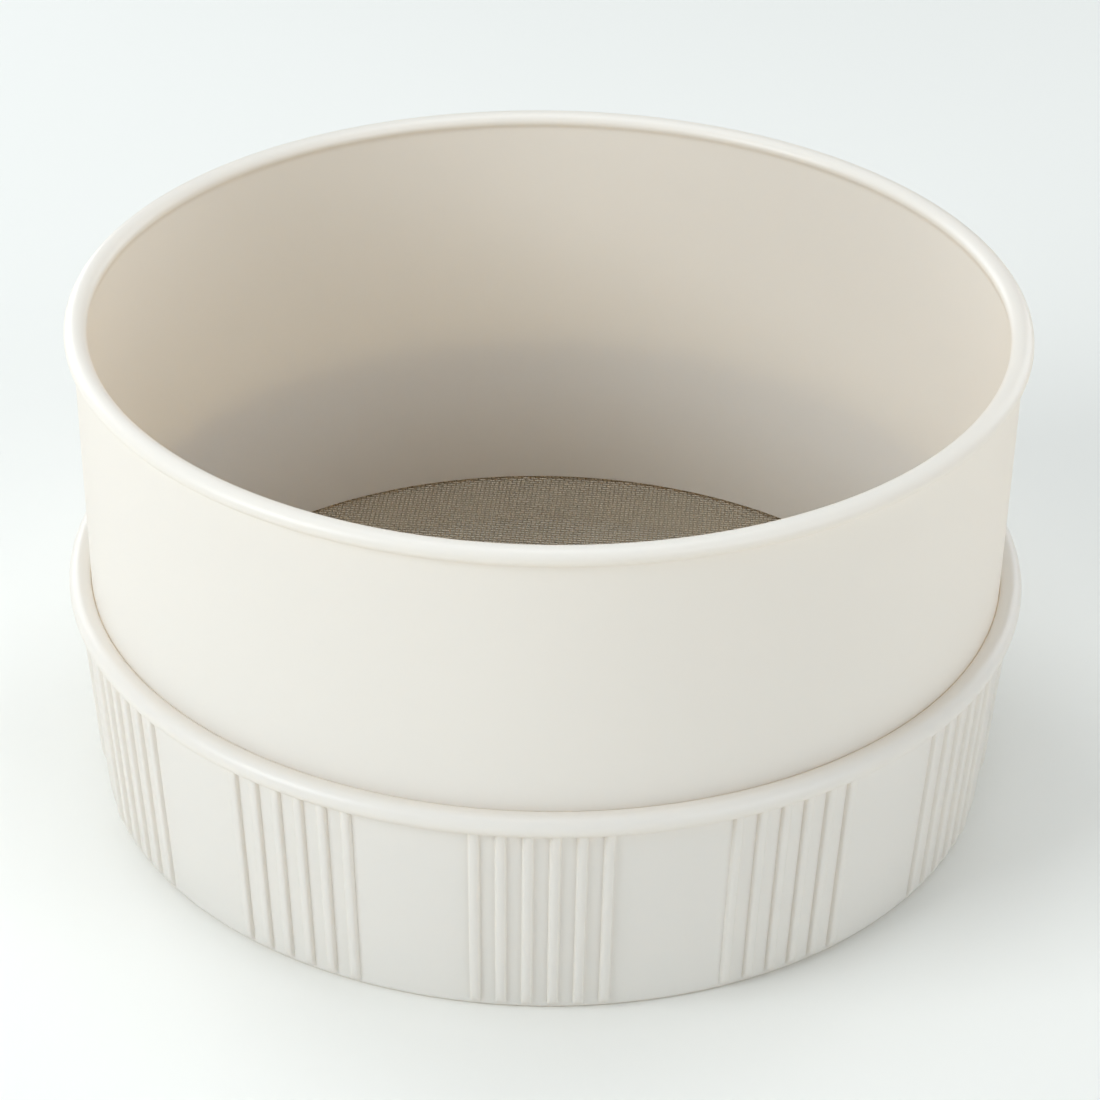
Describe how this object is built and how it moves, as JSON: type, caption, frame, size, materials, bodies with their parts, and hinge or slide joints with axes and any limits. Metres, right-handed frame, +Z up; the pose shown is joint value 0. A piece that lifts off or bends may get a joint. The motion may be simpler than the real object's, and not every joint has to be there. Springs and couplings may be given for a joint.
{
  "type": "drum sieve",
  "caption": "Drum sieve of two nested round plastic rings that clamp a disc of woven wire gauze, with grip ribs round the lower ring.",
  "frame": {"origin": "centre of the foot of the lower ring, on the table", "axes": "+Z up along the common axis of the rings; -Y faces the middle of one group of grip ribs"},
  "size_m": [0.215, 0.215, 0.1133],
  "materials": {
    "ring_plastic": "satin, moulded, off-white",
    "gauze_wire": "woven stainless wire"
  },
  "bodies": {
    "lower_ring": {"lower_ring": "ring_plastic"},
    "gauze": {"gauze": "gauze_wire"},
    "upper_ring": {"upper_ring": "ring_plastic"}
  },
  "joints": [
    {"name": "gauze_lift", "type": "slide", "parent": "lower_ring", "child": "gauze", "axis": [0, 0, 1], "range_m": [0, 0.05]},
    {"name": "upper_ring_lift", "type": "slide", "parent": "gauze", "child": "upper_ring", "axis": [0, 0, 1], "range_m": [0, 0.05]}
  ]
}
